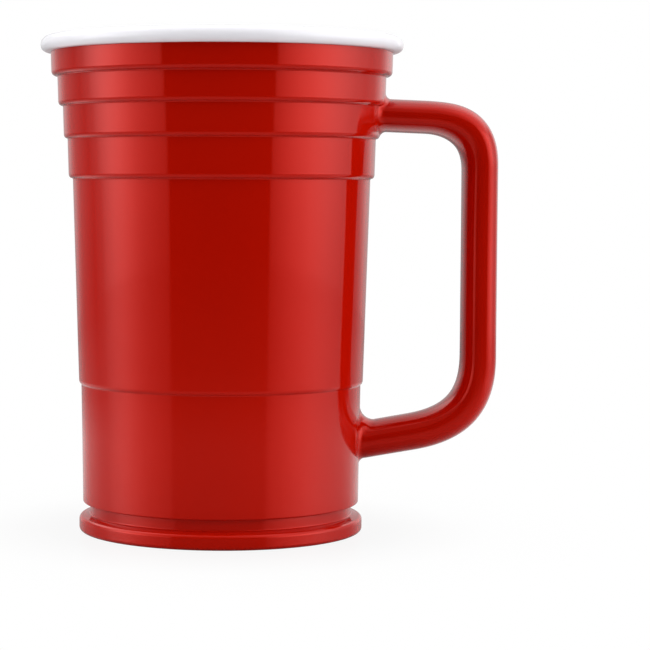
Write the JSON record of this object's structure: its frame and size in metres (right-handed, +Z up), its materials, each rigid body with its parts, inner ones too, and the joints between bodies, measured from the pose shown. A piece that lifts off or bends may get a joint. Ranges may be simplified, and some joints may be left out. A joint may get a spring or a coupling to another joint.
{
  "type": "beer mug",
  "caption": "Round stepped plastic mug that widens to its mouth, with a white liner and rim bead, a foot ring and a loop handle.",
  "frame": {"origin": "on the cup's axis, in the plane of the foot ring's lower face", "axes": "+Z up along the cup's axis to the rim, +X out to the handle, +Y across the handle"},
  "size_m": [0.1366, 0.108, 0.1476],
  "materials": {
    "red_plastic": "glossy moulded red plastic with a faint ripple, no print",
    "white_plastic": "glossy moulded white plastic, slightly cool"
  },
  "bodies": {
    "root": {"outer_shell": "red_plastic", "inner_liner": "white_plastic"}
  },
  "joints": []
}
